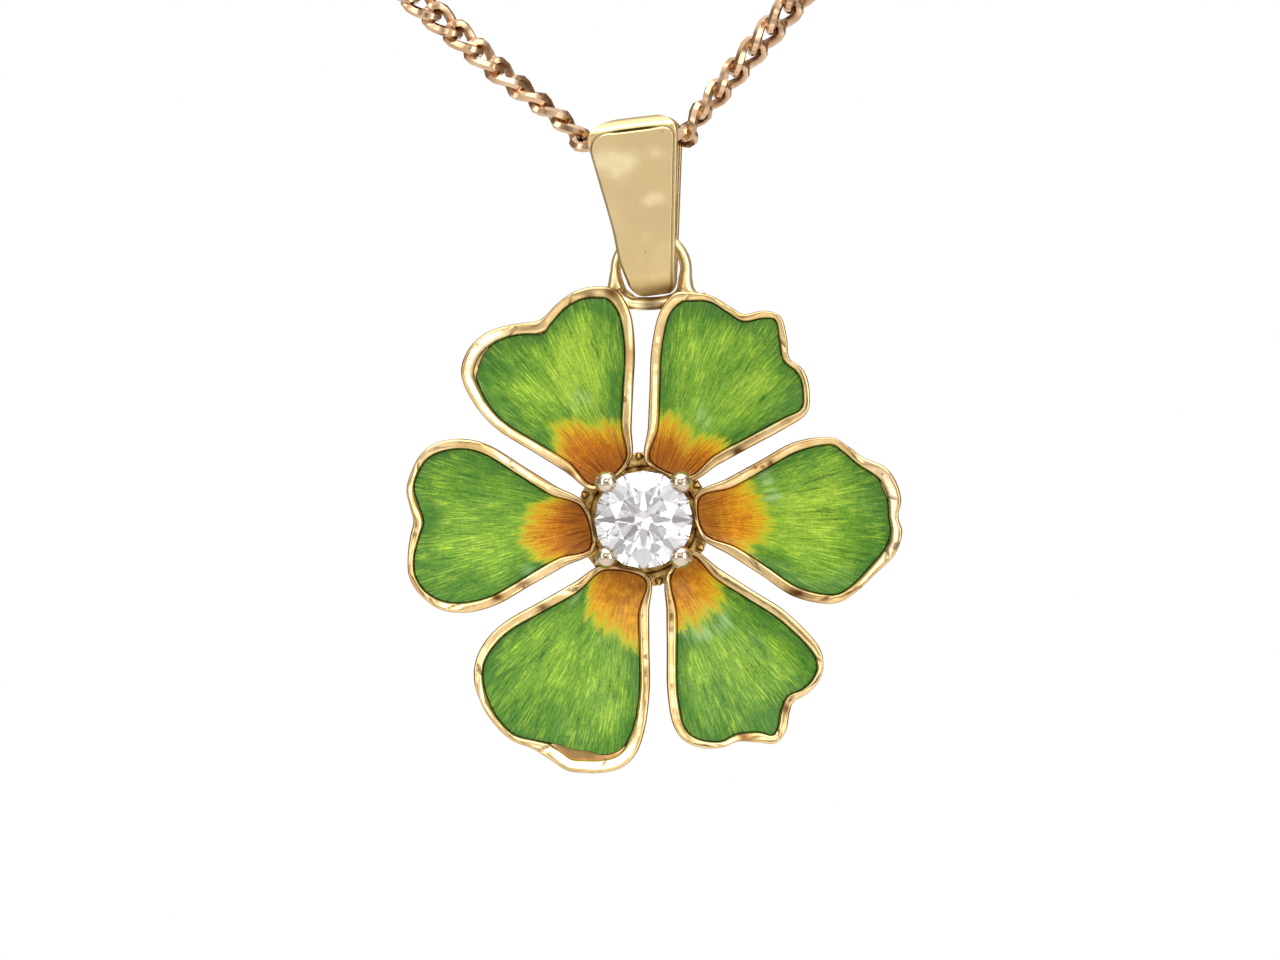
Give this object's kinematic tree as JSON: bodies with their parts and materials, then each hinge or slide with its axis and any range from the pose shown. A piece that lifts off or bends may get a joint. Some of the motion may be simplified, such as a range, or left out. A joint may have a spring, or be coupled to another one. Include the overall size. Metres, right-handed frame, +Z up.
{
  "type": "flower pendant on a chain",
  "caption": "Enamelled gold flower pendant with petals in raised rims round a claw-set stone, hung by a ring and tapered bail on a fine curb chain.",
  "frame": {"origin": "middle of the clasp at the nape, the back of the loop of chain, where the necklace hangs on a neck", "axes": "+Z up, +X to the right of a viewer who faces the pendant, the pendant hangs at -Y below the origin and faces -Y"},
  "size_m": [0.1148, 0.1122, 0.1281],
  "materials": {
    "yellow_gold": "polished",
    "rose_gold": "polished",
    "white_gold": "polished",
    "stone": "faceted and polished",
    "enamel": "glossy, over an engraved ground"
  },
  "bodies": {
    "chain": {"chain": "rose_gold", "clasp": "rose_gold"},
    "bail": {"bail": "yellow_gold"},
    "flower": {"flower_frame": "yellow_gold", "claw_setting": "white_gold", "stone": "stone", "enamel_right": "enamel", "enamel_upper_right": "enamel", "enamel_upper_left": "enamel", "enamel_left": "enamel", "enamel_lower_left": "enamel", "enamel_lower_right": "enamel"}
  },
  "joints": [
    {"name": "bail_swing", "type": "hinge", "parent": "chain", "child": "bail", "pos_m": [0, -0.107, -0.101], "axis": [0.9905, -0.061, 0.1234], "range_deg": [-45, 45]},
    {"name": "flower_swing", "type": "hinge", "parent": "bail", "child": "flower", "pos_m": [0.00064, -0.107, -0.10496], "axis": [1, 0, 0], "range_deg": [-25, 25]}
  ]
}
